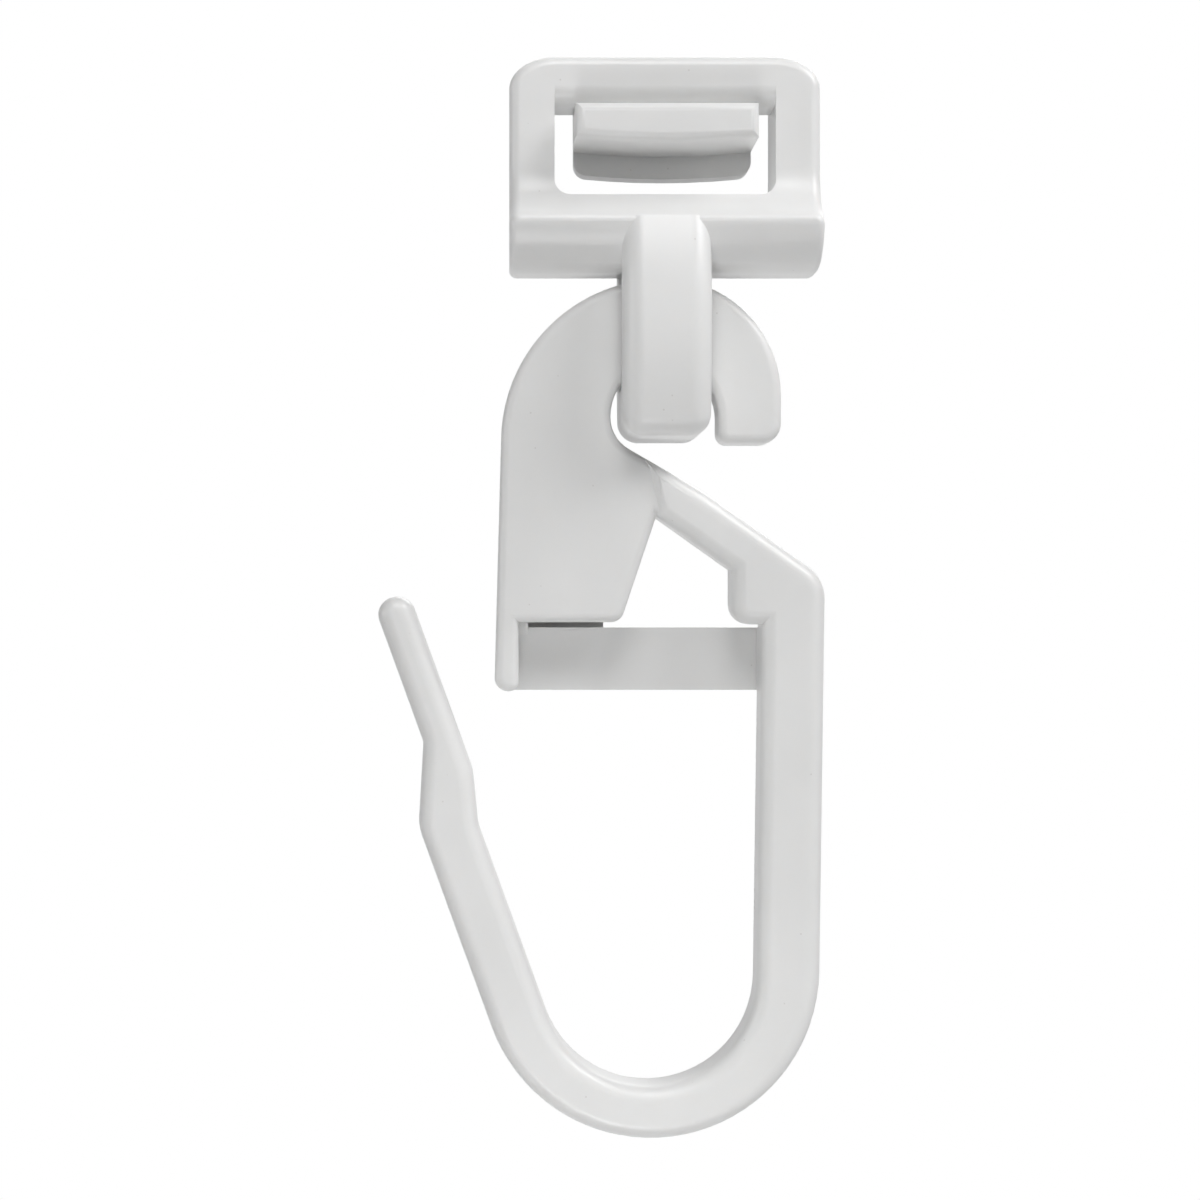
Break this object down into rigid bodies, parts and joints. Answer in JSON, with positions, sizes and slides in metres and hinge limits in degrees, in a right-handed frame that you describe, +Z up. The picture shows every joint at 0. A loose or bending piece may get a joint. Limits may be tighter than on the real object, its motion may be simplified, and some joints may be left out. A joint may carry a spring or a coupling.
{
  "type": "curtain glider",
  "caption": "White plastic curtain glider: a sled-shaped rail foot with window frame and spring tongue carries an eyelet, from which an open pleat hook swings.",
  "frame": {"origin": "middle of the flat sliding face under the foot, where it rests on the lips of the rail", "axes": "+Z up, +Y along the rail and away from the viewer, X across the rail in the plane of the hook"},
  "size_m": [0.0178, 0.007, 0.0432],
  "materials": {
    "glider_plastic": "white moulded plastic, soft gloss",
    "hook_plastic": "white moulded plastic, soft gloss"
  },
  "bodies": {
    "glider": {"glider": "glider_plastic"},
    "pleat_hook": {"pleat_hook": "hook_plastic"}
  },
  "joints": [
    {"name": "hook_swing", "type": "hinge", "parent": "glider", "child": "pleat_hook", "pos_m": [0, 0, -0.00573], "axis": [0, 1, 0], "range_deg": [-85, 30]}
  ]
}
